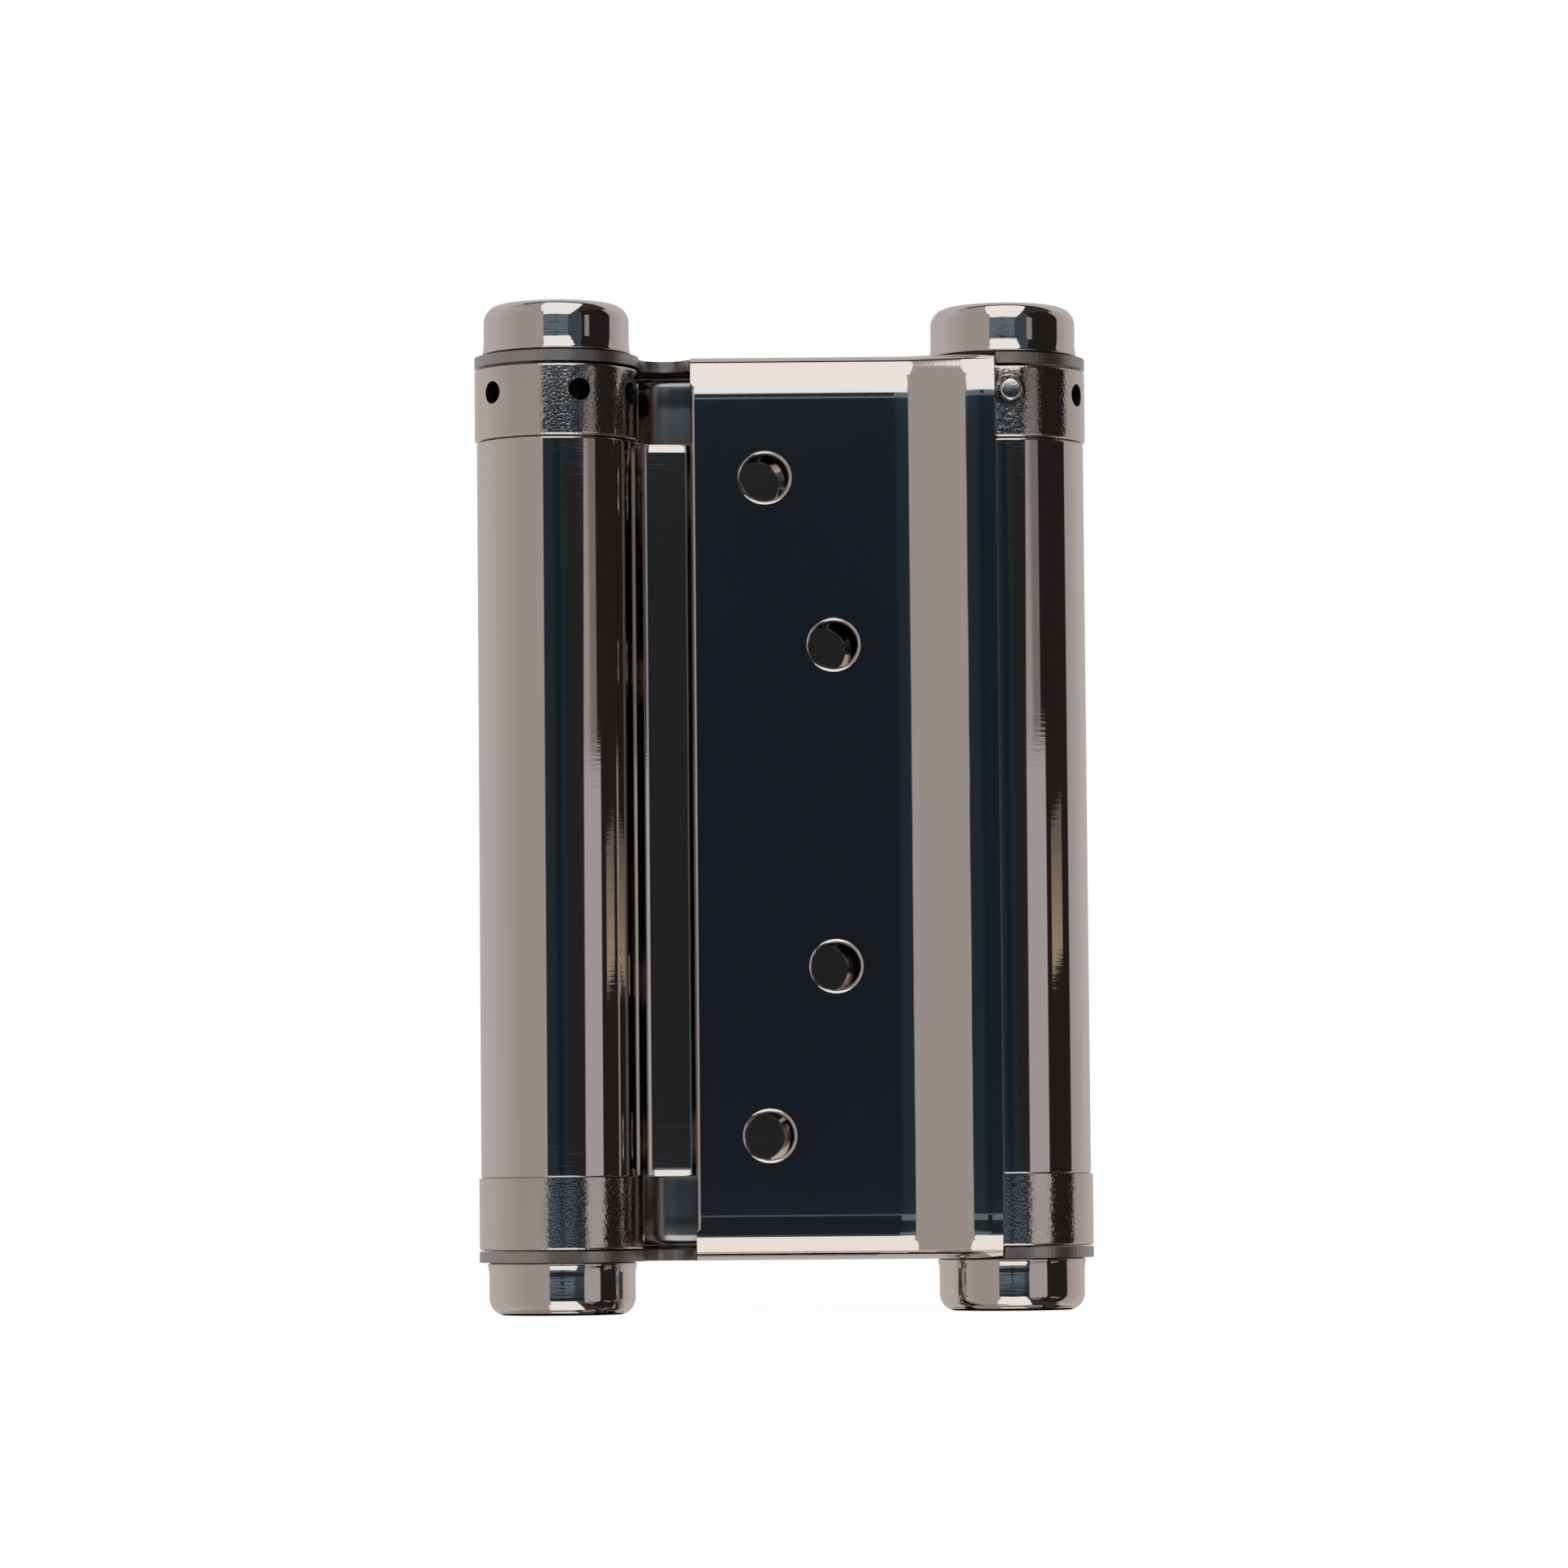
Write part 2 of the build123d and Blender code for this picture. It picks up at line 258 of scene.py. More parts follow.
def leaf_sheet(name):
    """The outer skin of a leaf: lower flange, folds, face, upper flange."""
    rows = [(inset, -height) for inset, height in reversed(fold)] + fold
    first_inset, first_height = rows[0]
    draw(name, [Vector((p.x, p.y + first_inset, first_height)) for p in face_line()])
    bpy.ops.mesh.select_all(action="SELECT")
    for (inset, height), (next_inset, next_height) in zip(rows, rows[1:]):
        shift = Vector((0, next_inset - inset, next_height - height))
        bpy.ops.mesh.extrude_region_move(TRANSFORM_OT_translate={"value": shift})
    bpy.ops.object.mode_set(mode="OBJECT")
    return bpy.context.object


def flange_face(name, height):
    """One flat flange with its ear, as a single face."""
    edge = [Vector((p.x, p.y + fold_inset)) for p in face_line()]
    outline = [*edge[:-1], *flange_outline()]
    draw(name, [Vector((p.x, p.y, height)) for p in outline])
    bpy.ops.mesh.select_all(action="SELECT")
    bpy.ops.mesh.remove_doubles(threshold=MERGE_WITHIN)
    bpy.ops.mesh.edge_face_add()
    bpy.ops.object.mode_set(mode="OBJECT")
    return bpy.context.object


def join(pieces):
    """Join pieces into the first one."""
    deselect()
    for piece in pieces:
        piece.select_set(True)
    bpy.context.view_layer.objects.active = pieces[0]
    bpy.ops.object.join()
    return pieces[0]


door_leaf = join([
    leaf_sheet("door_leaf_sheet"),
    flange_face("upper_flange", half_height),
    flange_face("lower_flange", -half_height),
])
bpy.ops.object.mode_set(mode="EDIT")
close_mesh()
front_face = max(door_leaf.data.polygons, key=lambda face: face.area if abs(face.normal.y) > FACING else 0)
if front_face.normal.y > 0:
    door_leaf.data.flip_normals()
print("faces in the leaf's skin:", len(door_leaf.data.polygons))

# %% [markdown]
# ## Thickness
#
# So far the leaf is only its outer skin. The Solidify modifier adds the sheet's thickness on the
# inside, so the outer face stays where the CAD model has it. It can also put the cut edge and the
# inside in material slots of their own. That matters here, because both are duller than the polished
# face.

# %% Give the leaf its thickness, with slots for its cut edge and its inside
SHEET = 1.2 * MM


def add_slots(piece, count):
    """Empty material slots, which keep finishes apart until the materials are made."""
    for _ in range(count):
        piece.data.materials.append(None)


def apply_modifier(piece, kind, **settings):
    """Add one modifier and apply it."""
    bpy.context.view_layer.objects.active = piece
    modifier = piece.modifiers.new(kind.lower(), kind)
    for key, value in settings.items():
        setattr(modifier, key, value)
    bpy.ops.object.modifier_apply(modifier=modifier.name)


add_slots(door_leaf, 3)
apply_modifier(door_leaf, "SOLIDIFY", thickness=SHEET, offset=-1, use_even_offset=True,
               material_offset_rim=1, material_offset=2)
print("leaf faces", len(door_leaf.data.polygons))

# %% [markdown]
# ## Edges and holes of the leaf
#
# The free edge has a bright line in the photo. It is its outer corner, rounded by polishing, which
# mirrors the panel at the left. The screw holes have such a line too. A real press pulls the sheet
# into the hole, so their mouths are quarter rounds, cut by a tool that is spun with the same round.
# The countersinks are at the back.

# %% Round the outer arris of the free edge
FREE_ARRIS = 0.5 * MM
FREE_ARRIS_STEPS = 6
FREE_ARRIS_END = half_height - FOLD_RADIUS
NEAR = 0.01 * MM
deselect()
bpy.context.view_layer.objects.active = door_leaf
bpy.ops.object.mode_set(mode="EDIT")
bpy.ops.mesh.select_all(action="DESELECT")
bpy.ops.object.mode_set(mode="OBJECT")
for edge in door_leaf.data.edges:
    ends = [door_leaf.data.vertices[index].co for index in edge.vertices]
    edge.select = all(co.x < free_edge + NEAR and co.y < face_y + SHEET / 2
                      and abs(co.z) < FREE_ARRIS_END for co in ends)
print("edges in the arris:", sum(edge.select for edge in door_leaf.data.edges))
bpy.ops.object.mode_set(mode="EDIT")
bpy.ops.mesh.select_mode(type="EDGE")
bpy.ops.mesh.bevel(offset=FREE_ARRIS, segments=FREE_ARRIS_STEPS)
bpy.ops.mesh.select_mode(type="VERT")
bpy.ops.object.mode_set(mode="OBJECT")

# %% [markdown]
# ## Shapes from the lathe
#
# A hole takes the shape of the tool that makes it. So the tool's half-section is drawn, spun round
# the hole's axis and taken out of the piece with a Boolean modifier. Caps, collars and pins are spun
# in the same way further on, because they really are turned.

# %% Turn a profile on an axis
TURN_STEPS = 144
CUT = 1 * MM


def turn(name, base, axis, profile, steps=TURN_STEPS):
    """Spin a half-section, given as (radius, distance along the axis), round an axis through base."""
    axis = Vector(axis).normalized()
    out = axis.orthogonal().normalized()
    draw(name, [Vector(base) + out * radius + axis * along for radius, along in profile])
    bpy.ops.mesh.select_all(action="SELECT")
    bpy.ops.mesh.spin(steps=steps, angle=2 * math.pi, center=base, axis=axis)
    close_mesh()
    return bpy.context.object


def cut(piece, tool):
    """Take the tool's shape out of the piece."""
    apply_modifier(piece, "BOOLEAN", object=tool, operation="DIFFERENCE", solver="EXACT")
    bpy.data.objects.remove(tool)


# %% Screw holes
HOLE_STEPS = 64
SCREW_RADIUS = 2.6 * MM
SINK_DEPTH = 0.55 * MM
MOUTH_ROUND = 0.45 * MM
MOUTH_START = math.radians(8)
MOUTH_STEPS = 8


def rounded_mouth(radius, round_by):
    """Half-section points of a hole's rounded mouth, from above the face down to the bore."""
    centre = radius + round_by
    angles = [MOUTH_START + (QUARTER - MOUTH_START) * step / MOUTH_STEPS for step in range(MOUTH_STEPS + 1)]
    bow = [(centre - round_by * math.sin(a), round_by * (1 - math.cos(a))) for a in angles]
    return [(bow[0][0], -CUT), *bow]


sink_radius = SCREW_RADIUS + SINK_DEPTH + CUT
sink = [(SCREW_RADIUS, SHEET - SINK_DEPTH), (sink_radius, SHEET + CUT), (0, SHEET + CUT)]
screw_hole = [(0, -CUT), *rounded_mouth(SCREW_RADIUS, MOUTH_ROUND), *sink]
for mount in frame["record"]["mounts"]:
    if mount["kind"] == "bolt_pattern" and mount["name"].startswith("door"):
        for side in (1, -1):
            place = Vector(mount["pos_m"]) + Vector((0, 0, side * mount["dims"]["spacing_y_mm"] * MM / 2))
            cut(door_leaf, turn("screw_hole", place, (0, 1, 0), screw_hole, steps=HOLE_STEPS))
            print("screw hole at", [round(v / MM, 1) for v in place])

# %% [markdown]
# ## Ears, last edges and the second leaf
#
# Each ear has a hole for the spindle. After that every sharp edge that is left gets a small round, as
# the polishing wheel gives it. A mirror needs such rounds, because they are what catches the light
# along an edge. The jamb's leaf is the same pressing, so it is a copy that is turned half a turn.

# %% Round edges, smooth the shading and copy
ARRIS_ANGLE = math.radians(50)
SMOOTH_ANGLE = math.radians(40)


def break_arrises(piece, width, segments):
    """Round every sharp edge a little, as a file or a polishing wheel does."""
    apply_modifier(piece, "BEVEL", width=width, segments=segments,
                   limit_method="ANGLE", angle_limit=ARRIS_ANGLE)


def smooth(piece):
    """Smooth shading, with flat faces kept flat and true corners kept sharp."""
    deselect()
    piece.select_set(True)
    bpy.context.view_layer.objects.active = piece
    bpy.ops.object.shade_smooth_by_angle(angle=SMOOTH_ANGLE)
    apply_modifier(piece, "WEIGHTED_NORMAL", keep_sharp=True)


def half_turn_copy(piece, name):
    """The jamb's copy of a piece: the same shape turned half a turn round the middle."""
    twin = piece.copy()
    twin.data = piece.data.copy()
    twin.name = twin.data.name = name
    bpy.context.scene.collection.objects.link(twin)
    twin.data.transform(Matrix.Rotation(math.pi, 4, "Z"))
    return twin


# %% Spindle holes, last arrises and the jamb's leaf
SPINDLE_HOLE = 3.02 * MM
LEAF_ARRIS = 0.3 * MM
LEAF_ARRIS_STEPS = 4
spindle_bore = [(0, -2 * SHEET), (SPINDLE_HOLE, -2 * SHEET), (SPINDLE_HOLE, 2 * SHEET), (0, 2 * SHEET)]
for height in (half_height, -half_height):
    middle = door_axis + Vector((0, 0, height))
    cut(door_leaf, turn("spindle_hole", middle, (0, 0, 1), spindle_bore, steps=HOLE_STEPS))
break_arrises(door_leaf, LEAF_ARRIS, LEAF_ARRIS_STEPS)
smooth(door_leaf)
jamb_leaf = half_turn_copy(door_leaf, "jamb_leaf_sheet")
print("finished leaf faces", len(door_leaf.data.polygons))

# %% [markdown]
# ## The link
#
# One strip joins the two barrels. Its ends are rolled into the spring tubes, on opposite sides, so
# the plan is an S. It is drawn as its middle line, extruded upwards and thickened. The web's last
# millimetre at its rims is a little thinner, which is how a polishing wheel leaves an edge.

# %% Middle line of the link in plan
WEB_NECK_RADIUS = 1.6 * MM
WEB_NECK_STEPS = 16
SEAM_GAP = 0.35 * MM
ROLL_STEPS = 150


def half_link_line():
    """Plan points from the middle of the web to the end of the tube at +X, with the web along X."""
    roll = tube_radius - SHEET / 2
    bend = WEB_NECK_RADIUS + SHEET / 2
    lead = math.sqrt((roll + bend) ** 2 - bend ** 2)
    open_angle = math.atan2(bend, lead)
    seam = (SHEET / 2 + SEAM_GAP) / tube_radius
    bend_part = arc((barrel_reach - lead, bend), bend, -QUARTER, -open_angle, WEB_NECK_STEPS)
    tube_part = arc((barrel_reach, 0), roll, math.pi - open_angle, seam - math.pi, ROLL_STEPS)
    return [*bend_part, *tube_part[1:]]


right_half = half_link_line()
link_line = [Vector((-p.x, -p.y)) for p in reversed(right_half)] + right_half
turned_line = [by_barrels(p.x, p.y) for p in link_line]
print("points in the link's line:", len(turned_line))

# %% Extrude and thicken the link
WEB_RIM = 1.0 * MM
RIM_ROWS = (0, 0.25, 0.5, 0.75, 1)
RIM_THINNING = 0.3
WEB_SLACK = 0.1 * MM
LINK_ARRIS = 0.2 * MM
LINK_ARRIS_STEPS = 3
rises = [row * WEB_RIM for row in RIM_ROWS]
heights = [tube_low.z + rise for rise in rises] + [tube_high.z - rise for rise in reversed(rises)]
draw("link_sheet", [Vector((p.x, p.y, heights[0])) for p in turned_line])
bpy.ops.mesh.select_all(action="SELECT")
pen([Vector((0, 0, height)) for height in heights])
close_mesh()
link = bpy.context.object
rim_group = link.vertex_groups.new(name="thickness")
web_reach = right_half[0].x
for vertex in link.data.vertices:
    depth = min(vertex.co.z - tube_low.z, tube_high.z - vertex.co.z)
    on_web = abs(vertex.co.xy.dot(by_barrels(1, 0))) < web_reach + WEB_SLACK
    thinning = RIM_THINNING * max(0, 1 - depth / WEB_RIM) if on_web else 0
    rim_group.add([vertex.index], 1 - thinning, "REPLACE")
apply_modifier(link, "SOLIDIFY", thickness=SHEET, offset=0, use_even_offset=True, vertex_group="thickness")
break_arrises(link, LINK_ARRIS, LINK_ARRIS_STEPS)
smooth(link)
print("link faces", len(link.data.polygons))

# %% [markdown]
# ## The end caps
#
# These were turned on a lathe, so they are half-sections that are spun. Corners are short arcs worked
# out by a formula: a mirror shows at once whether a corner is round or only cut off. Where a cap
# stands on its ear there is a fine dark line, the shade in the joint. So the foot stands on a slightly
# narrower step, and that step is painted dark: painted shade, taller under the top caps.

# %% Rounded corners for half-sections
def corner(centre, radius, start, end, steps):
    """Points of a quarter round in a half-section, angles in degrees."""
    return [tuple(p) for p in arc(centre, radius, math.radians(start), math.radians(end), steps)]


# %% End caps
CAP_FLARE = 0.18 * MM
CAP_FLARE_HEIGHT = 1.4 * MM
FLARE_STEPS = 8
CAP_CORNER = 1.9 * MM
CAP_CORNER_STEPS = 14
FOOT_ROUND = 0.10 * MM
FOOT_STEPS = 4
# The seam step carries painted shade, and it is taller under the top caps, where the shaded line is wider.
SEAM_HEIGHTS = {"top": 0.32 * MM, "bottom": 0.13 * MM}
SEAM_DEPTH = 0.25 * MM
CAP_FLOOR = 1.65 * MM
cap_height = cap_high.z - cap_low.z
cap_radius = cap_foot - CAP_FLARE
seam_radius = cap_foot - SEAM_DEPTH


def cap_profile(seam_height):
    """Half-section from the bore over the foot and the side to the middle of the top."""
    rise = [step / FLARE_STEPS for step in range(FLARE_STEPS + 1)]
    foot_top = seam_height + FOOT_ROUND
    flare = [(cap_radius + CAP_FLARE * (1 - t) ** 2, foot_top + CAP_FLARE_HEIGHT * t) for t in rise]
    foot = corner((cap_foot - FOOT_ROUND, foot_top), FOOT_ROUND, -90, 0, FOOT_STEPS)
    seam = [(seam_radius, 0), (seam_radius, seam_height)]
    top_centre = (cap_radius - CAP_CORNER, cap_height - CAP_CORNER)
    shoulder = corner(top_centre, CAP_CORNER, 0, 90, CAP_CORNER_STEPS)
    bore = [(0, cap_height - CAP_FLOOR), (SPINDLE_HOLE, cap_height - CAP_FLOOR), (SPINDLE_HOLE, 0)]
    return [*bore, *seam, *foot[:-1], *flare, *shoulder, (0, cap_height)]


caps = {}
for side, centre in barrel_axes.items():
    for level, direction in (("top", 1), ("bottom", -1)):
        base = centre + Vector((0, 0, direction * half_height))
        profile = cap_profile(SEAM_HEIGHTS[level])
        caps[side, level] = turn(f"{side}_{level}_cap_polished", base, (0, 0, direction), profile)
print("cap height", round(cap_height / MM, 2), "radius", round(cap_radius / MM, 2))

# %% [markdown]
# ## Punch marks
#
# Each lower cap has a small nick in its side, as a blow with a narrow punch leaves it. A thin block
# that is cut out of the cap is enough for so small a mark.

# %% Punch marks in the lower caps
STAKE = Vector((0.3, 0.9, 3.0)) * MM
STAKE_DROP = 1.1 * MM
STAKE_ANGLES = {"door": -136, "jamb": -36.5}
for side, angle in STAKE_ANGLES.items():
    deselect()
    bpy.ops.mesh.primitive_cube_add(size=1, location=(0, 0, 0))
    mark = bpy.context.object
    place = Matrix.Translation(barrel_axes[side] + Vector((0, 0, -half_height - STAKE_DROP - STAKE.z / 2)))
    aim = Matrix.Rotation(math.radians(angle), 4, "Z") @ Matrix.Translation((cap_radius, 0, 0))
    mark.data.transform(place @ aim @ Matrix.Diagonal((2 * STAKE.x, STAKE.y, STAKE.z, 1)))
    cut(caps[side, "bottom"], mark)
print("punch marks", len(STAKE_ANGLES))

# %% [markdown]
# ## Painted shade in the seams
#
# The narrow step under each cap gets the second material slot: painted shade, a near black colour for the dark
# line in the joint.
# Its faces are found by where they are, low and near the rim, so no face has to be picked by hand.

# %% Painted shade in the seams under the caps
SEAM_SLACK = 0.05 * MM
for (side, level), cap in caps.items():
    add_slots(cap, 2)
    # Slot 1 is painted shade on the seam step: the dark line where the cap meets its ear.
    for face in cap.data.polygons:
        lift = abs(face.center.z) - half_height
        out = (face.center - barrel_axes[side]).xy.length
        face.material_index = int(lift < SEAM_HEIGHTS[level] + NEAR and out > seam_radius - SEAM_SLACK)
    smooth(cap)
    print(side, level, "cap, dark faces", sum(face.material_index for face in cap.data.polygons))

# %% [markdown]
# ## Collars and stop pins
#
# The collars close the tubes: each has a spigot that sits inside the tube. The upper ones have six
# holes for a tightening bar, and one of them holds the stop pin. The holes are drilled with spun
# tools. One collar of a kind is made for the door's side, and its copy is turned half a turn for the
# jamb's side further on.

# %% Turn the collars
COLLAR_ROUND = 0.35 * MM
COLLAR_ROUND_STEPS = 6
COLLAR_BORE = 3.05 * MM
SPIGOT_GAP = 0.1 * MM
SPIGOT_LENGTH = 6 * MM
spigot_radius = tube_radius - SHEET - SPIGOT_GAP


def collar_profile(low, high, spigot, both_rims):
    """Half-section of a collar between two heights, with its spigot at the far end from the ear."""
    r = collar_radius
    top = corner((r - COLLAR_ROUND, high - COLLAR_ROUND), COLLAR_ROUND, 0, 90, COLLAR_ROUND_STEPS)
    foot = [(r, low)]
    if both_rims:
        foot = corner((r - COLLAR_ROUND, low + COLLAR_ROUND), COLLAR_ROUND, -90, 0, COLLAR_ROUND_STEPS)
    stub = [(COLLAR_BORE, spigot), (spigot_radius, spigot), (spigot_radius, low)]
    return [*stub, *foot, *top, (COLLAR_BORE, high), (COLLAR_BORE, spigot)]


tension_bottom = tension_low.z + SPIGOT_LENGTH
anchor_rim = anchor_high.z - SPIGOT_LENGTH
tension_collar = turn("door_tension_collar_plated", door_axis, (0, 0, 1),
                      collar_profile(tension_bottom, tension_high.z, tension_low.z, True))
anchor_collar = turn("door_anchor_collar_plated", door_axis, (0, 0, -1),
                     collar_profile(-anchor_rim, -anchor_low.z, -anchor_high.z, False))
print("collar radius", round(collar_radius / MM, 2), "spigot radius", round(spigot_radius / MM, 2))

# %% [markdown]
# ## Tightening holes
#
# A tightening bar fits into these holes when the spring is wound. A bit is spun for each of them and
# taken out of the collar, and the hole with the pin gets a shallow cone as well. Cuts leave tiny
# edges, so close vertices are merged before the edges are rounded.

# %% Drill the tension collar
HOLE_RADIUS = 1.25 * MM
HOLE_DEPTH = 4.4 * MM
HOLE_DROP = 2.95 * MM
HOLE_ANGLES = (0, 60, 127.5, 195, 242.5, 300)
DRILL_STEPS = 46
PIN_ANGLE = -87.1
RECESS_RADIUS = 1.95 * MM
COLLAR_MERGE = 0.02 * MM
COLLAR_ARRIS = 0.1 * MM
COLLAR_ARRIS_STEPS = 2
hole_height = Vector((0, 0, tension_high.z - HOLE_DROP))
hole_middle = door_axis + hole_height
floor_at = collar_radius - HOLE_DEPTH
beyond = collar_radius + CUT


def radial(angle):
    """Direction out from the barrel at an angle in plan."""
    return Vector((math.cos(math.radians(angle)), math.sin(math.radians(angle)), 0))


drill = [(0, floor_at), (HOLE_RADIUS, floor_at), (HOLE_RADIUS, beyond), (0, beyond)]
for angle in HOLE_ANGLES:
    cut(tension_collar, turn("drill", hole_middle, radial(PIN_ANGLE + angle), drill, steps=DRILL_STEPS))
cone_start = collar_radius - (RECESS_RADIUS - HOLE_RADIUS)
cone = [(0, cone_start), (HOLE_RADIUS, cone_start), (RECESS_RADIUS + CUT, beyond), (0, beyond)]
cut(tension_collar, turn("recess", hole_middle, radial(PIN_ANGLE), cone, steps=HOLE_STEPS))
deselect()
bpy.context.view_layer.objects.active = tension_collar
bpy.ops.object.mode_set(mode="EDIT")
bpy.ops.mesh.select_all(action="SELECT")
bpy.ops.mesh.remove_doubles(threshold=COLLAR_MERGE)
bpy.ops.object.mode_set(mode="OBJECT")
break_arrises(tension_collar, COLLAR_ARRIS, COLLAR_ARRIS_STEPS)
print("collar faces", len(tension_collar.data.polygons))

# %% Tell the holes' insides, which get painted shade, from the plated outside
MOUTH = 0.15 * MM
add_slots(tension_collar, 2)
for face in tension_collar.data.polygons:
    outward = (face.center - door_axis).xy
    beside = abs(face.center.z - hole_height.z)
    by_pin = outward.normalized().dot(radial(PIN_ANGLE).xy) > FACING
    bored = floor_at - MOUTH < outward.length < collar_radius - MOUTH and beside < HOLE_RADIUS + MOUTH
    # Slot 1 paints shade into the holes, all but the one that holds the pin.
    face.material_index = int(bored and not by_pin)
print("faces inside the holes:", sum(face.material_index for face in tension_collar.data.polygons))

# %% [markdown]
# ## Stop pin
#
# The pin stands in its hole and rests on the end edge of the leaf, where it holds the spring's
# tension. It is a short rod with a rounded end, spun round its own axis.

# %% Turn the stop pin
PIN_RADIUS = 1.2 * MM
PIN_REACH = 2.1 * MM
PIN_ROUND = 0.3 * MM
PIN_ROUND_STEPS = 6
tip = collar_radius + PIN_REACH
pin_end = corner((PIN_RADIUS - PIN_ROUND, tip - PIN_ROUND), PIN_ROUND, 0, 90, PIN_ROUND_STEPS)
stop_pin = turn("door_stop_pin_plated", hole_middle, radial(PIN_ANGLE),
                [(0, floor_at), (PIN_RADIUS, floor_at), *pin_end, (0, tip)], steps=HOLE_STEPS)
for piece in (tension_collar, anchor_collar, stop_pin):
    smooth(piece)
print("pin length", round((tip - floor_at) / MM, 2))

# %% [markdown]
# ## Materials
#
# A small class wraps a node's output, so that masks and sums read as ordinary sums. Every other node
# is made by one method that takes the node's type, its settings and what its sockets hold.

# %% Arithmetic on a node's output
class Value:
    """A node's output. Arithmetic on it adds Math nodes."""

    def __init__(self, finish, socket):
        self.finish = finish
        self.socket = socket

    def math(self, operation, other, swapped=False):
        """A Math node on this value and another value or number."""
        pair = (other, self) if swapped else (self, other)
        return self.finish.node("ShaderNodeMath", {"operation": operation}, dict(enumerate(pair)))

    def __add__(self, other):
        return self.math("ADD", other)

    def __mul__(self, other):
        return self.math("MULTIPLY", other)

    def __pow__(self, other):
        return self.math("POWER", other)

    def __rpow__(self, other):
        return self.math("POWER", other, swapped=True)

    __radd__ = __add__
    __rmul__ = __mul__


# %% Nodes of a material or of the world
class Finish:
    """The nodes of one material, or of the world."""

    def __init__(self, name, home=bpy.data.materials):
        self.owner = home.new(name)
        self.owner.use_nodes = True
        self.tree = self.owner.node_tree
        self.tree.nodes.clear()

    def node(self, kind, settings=None, inputs=None, output=0):
        """One node, with its settings first and then the values or links of its sockets."""
        made = self.tree.nodes.new(kind)
        for key, value in (settings or {}).items():
            if key == "stops":
                self.set_stops(made.color_ramp.elements, value)
            else:
                setattr(made, key, value)
        for key, value in (inputs or {}).items():
            if isinstance(value, Value):
                self.tree.links.new(value.socket, made.inputs[key])
            else:
                made.inputs[key].default_value = value
        return Value(self, made.outputs[output]) if made.outputs else made

    def set_stops(self, ramp, stops):
        """Give a ramp its stops, each a position and a colour, in rising order."""
        for stop, (position, colour) in ((ramp[0], stops[0]), (ramp[1], stops[-1])):
            stop.position = position
            stop.color = (*colour, 1)
        for position, colour in stops[1:-1]:
            ramp.new(position).color = (*colour, 1)

    def place(self, stretch=(1, 1, 1)):
        """Object coordinates, scaled along each axis."""
        at = self.node("ShaderNodeTexCoord", output="Object")
        return self.node("ShaderNodeMapping", {}, {"Vector": at, "Scale": stretch})

    def noise(self, scale, detail, stretch=(1, 1, 1)):
        """Noise on Object coordinates."""
        inputs = {"Vector": self.place(stretch), "Scale": scale, "Detail": detail}
        return self.node("ShaderNodeTexNoise", {}, inputs)

    def blend(self, factor, a, b):
        """A colour between two others."""
        return self.node("ShaderNodeMix", {"data_type": "RGBA"}, {0: factor, 6: a, 7: b}, output=2)

    def bump(self, height, distance):
        """A normal from a height that is given as a share of a distance."""
        return self.node("ShaderNodeBump", {}, {"Height": height, "Distance": distance, "Strength": 1.0})

    def metal(self, colour, roughness, normal):
        """End with a Principled surface of bare metal."""
        inputs = {"Base Color": colour, "Metallic": 1.0, "Roughness": roughness, "Normal": normal}
        return self.end(self.node("ShaderNodeBsdfPrincipled", {}, inputs))

    def end(self, shader, output="ShaderNodeOutputMaterial"):
        """Link a shader to the output and hand back what owns the nodes."""
        self.node(output, {}, {"Surface": shader})
        return self.owner


# %% [markdown]
# ## Mirror polish
#
# Leaves, link and caps are polished and nickel plated. The colour is the plating's slightly warm
# grey. A perfect mirror looks false, so there are wheel lines, hardly deeper than a micron, that run
# the way each piece met the wheel: along the leaf, and round the caps and tubes. They are one noise,
# stretched along the lines.

# %% Polished finishes
NICKEL = (0.80, 0.745, 0.71, 1)
WHEEL_LINES = 3500
WHEEL_ROUGHNESS = 0.02
HAZE = 90
HAZE_ROUGHNESS = 0.03
POLISH_ROUGHNESS = 0.03
ALONG_LEAF = (1, 1, 0.03)
ROUND_AXIS = (0.08, 0.08, 1)


def polished(name, stretch, depth):
    """Mirror polish with faint wheel lines."""
    finish = Finish(name)
    wheel = finish.noise(WHEEL_LINES, 2, stretch)
    haze = finish.noise(HAZE, 3)
    roughness = POLISH_ROUGHNESS + haze * HAZE_ROUGHNESS + wheel * WHEEL_ROUGHNESS
    return finish.metal(NICKEL, roughness, finish.bump(wheel, depth))


leaf_polish = polished("leaf_polish", ALONG_LEAF, 0.0015 * MM)
cap_polish = polished("cap_polish", ROUND_AXIS, 0.004 * MM)
link_polish = polished("link_polish", ROUND_AXIS, 0.0035 * MM)
print("polished:", leaf_polish.name, cap_polish.name, link_polish.name)

# %% [markdown]
# ## Plating, cut edges, and painted shade in the holes
#
# Collars and pins were plated without polishing, so they are a mirror with grain: near black where
# the room is dark, with tiny bright specks. A noise raised to a power has flat ground and a few sharp
# peaks, which is what such specks are. The sheet's cut edge and inside are duller. The insides of the
# holes and the seams under the caps get painted shade, a near black colour.

# %% Plated and dull finishes, and the painted shade
GRAIN = 4200
GRAIN_SHARPNESS = 4.0
CLOUDS = 260
CLOUD_ROUGHNESS = 0.04


def plated(name, roughness, depth, low, high, grain=GRAIN, stretch=(1, 1, 1)):
    """Plating over rough ground: grain in the bump, clouds in the colour and the roughness."""
    finish = Finish(name)
    speck = finish.noise(grain, 2, stretch)
    cloud = finish.noise(CLOUDS, 3)
    tint = finish.blend(cloud, (*low, 1), (*high, 1))
    normal = finish.bump(speck ** GRAIN_SHARPNESS, depth)
    return finish.metal(tint, roughness + cloud * CLOUD_ROUGHNESS, normal)


